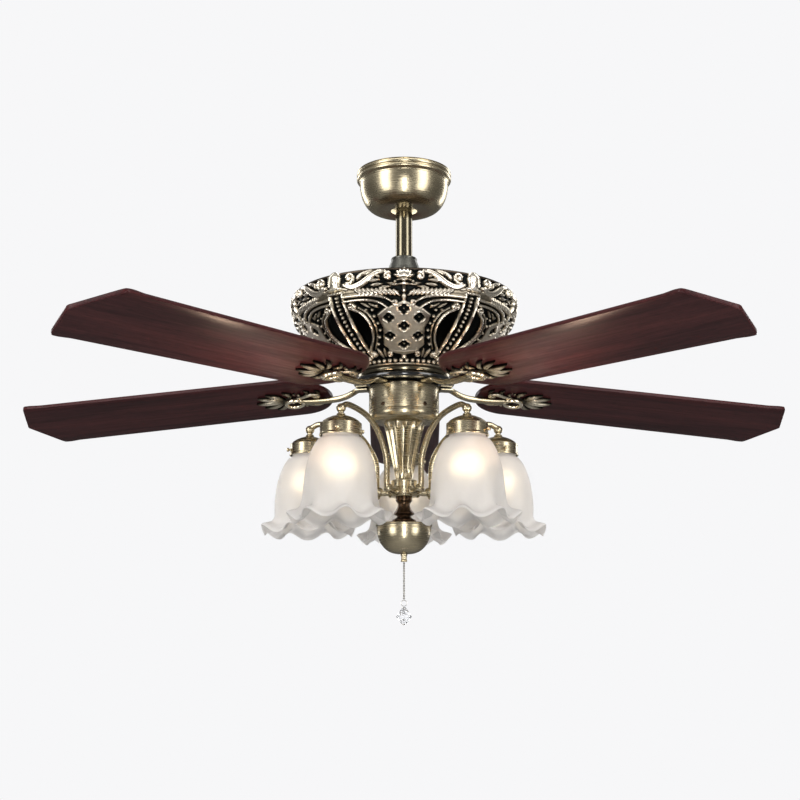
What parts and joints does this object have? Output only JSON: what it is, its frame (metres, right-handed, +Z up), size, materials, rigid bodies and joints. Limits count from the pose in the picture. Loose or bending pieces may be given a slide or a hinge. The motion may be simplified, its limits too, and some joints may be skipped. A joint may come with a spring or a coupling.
{
  "type": "ceiling fan with light",
  "caption": "Ceiling fan with mahogany blades on leaf-shaped brass irons, ornate bronze motor housing and a brass light kit with frosted tulip shades and a pull chain.",
  "frame": {"origin": "centre of the hanger bracket's top face, on the ceiling", "axes": "+Z up along the fan's axis, out of the bracket towards the ceiling; +Y away from the viewer, along the blade that points straight back"},
  "size_m": [1.2562, 1.2052, 0.708],
  "materials": {
    "antique_brass": "brushed, antiqued",
    "dark_brass": "dark patina",
    "antique_bronze": "cast relief, dark patina in the hollows",
    "pewter": "satin",
    "black_enamel": "semi-gloss black",
    "steel": "zinc plated",
    "stator_core": "laminated core with copper windings",
    "chain_steel": "bright beads",
    "white_plastic": "moulded",
    "socket_plastic": "moulded",
    "rubber": "matt",
    "mahogany": "stained, satin lacquer",
    "frosted_glass": "frosted white",
    "bulb_glass": "frosted diffuser",
    "crystal": "clear, faceted"
  },
  "bodies": {
    "root": {"hanger_bracket": "steel", "canopy": "antique_brass"},
    "liner": {"ball_liner": "rubber"},
    "fan": {"hanger_ball": "white_plastic", "downrod": "antique_brass", "coupling_cover": "pewter", "motor_shaft": "steel", "stator": "stator_core", "motor_housing": "antique_bronze", "housing_deck": "antique_bronze", "switch_housing": "antique_brass", "fitter_pan": "antique_brass", "fluted_cone": "antique_brass", "arm_hub": "antique_brass", "neck_spool": "dark_brass", "bowl_cup": "antique_brass", "chain_guide": "antique_brass", "pull_switch": "white_plastic", "light_arm_1": "antique_brass", "light_arm_2": "antique_brass", "light_arm_3": "antique_brass", "light_arm_4": "antique_brass", "light_arm_5": "antique_brass", "shade_holder_1": "antique_brass", "shade_holder_2": "antique_brass", "shade_holder_3": "antique_brass", "shade_holder_4": "antique_brass", "shade_holder_5": "antique_brass", "lamp_socket_1": "socket_plastic", "lamp_socket_2": "socket_plastic", "lamp_socket_3": "socket_plastic", "lamp_socket_4": "socket_plastic", "lamp_socket_5": "socket_plastic", "bulb_1": "bulb_glass", "bulb_2": "bulb_glass", "bulb_3": "bulb_glass", "bulb_4": "bulb_glass", "bulb_5": "bulb_glass", "glass_shade_1": "frosted_glass", "glass_shade_2": "frosted_glass", "glass_shade_3": "frosted_glass", "glass_shade_4": "frosted_glass", "glass_shade_5": "frosted_glass"},
    "rotor": {"rotor_shell": "black_enamel", "flywheel": "black_enamel", "upper_bearing": "steel", "lower_bearing": "steel", "blade_iron_1": "antique_brass", "blade_iron_2": "antique_brass", "blade_iron_3": "antique_brass", "blade_iron_4": "antique_brass", "blade_iron_5": "antique_brass", "blade_1": "mahogany", "blade_2": "mahogany", "blade_3": "mahogany", "blade_4": "mahogany", "blade_5": "mahogany"},
    "chain": {"pull_chain": "chain_steel"},
    "pendant": {"chain_ring": "chain_steel", "crystal_drop": "crystal"}
  },
  "joints": [
    {"name": "hanger_swing_side", "type": "hinge", "parent": "root", "child": "liner", "pos_m": [0, 0, -0.038], "axis": [1, 0, 0], "range_deg": [-8, 8]},
    {"name": "hanger_swing_front", "type": "hinge", "parent": "liner", "child": "fan", "pos_m": [0, 0, -0.038], "axis": [0, 1, 0], "range_deg": [-8, 8]},
    {"name": "rotor_spin", "type": "hinge", "parent": "fan", "child": "rotor", "pos_m": [0, 0, -0.3466], "axis": [0, 0, 1], "continuous": true},
    {"name": "chain_pull", "type": "slide", "parent": "fan", "child": "chain", "axis": [0, 0, -1], "range_m": [0, 0.012], "stiffness_N_per_m": 800, "springref_m": -0.005},
    {"name": "pendant_swing", "type": "hinge", "parent": "chain", "child": "pendant", "pos_m": [0, 0, -0.67055], "axis": [1, 0, 0], "range_deg": [-60, 60]}
  ]
}
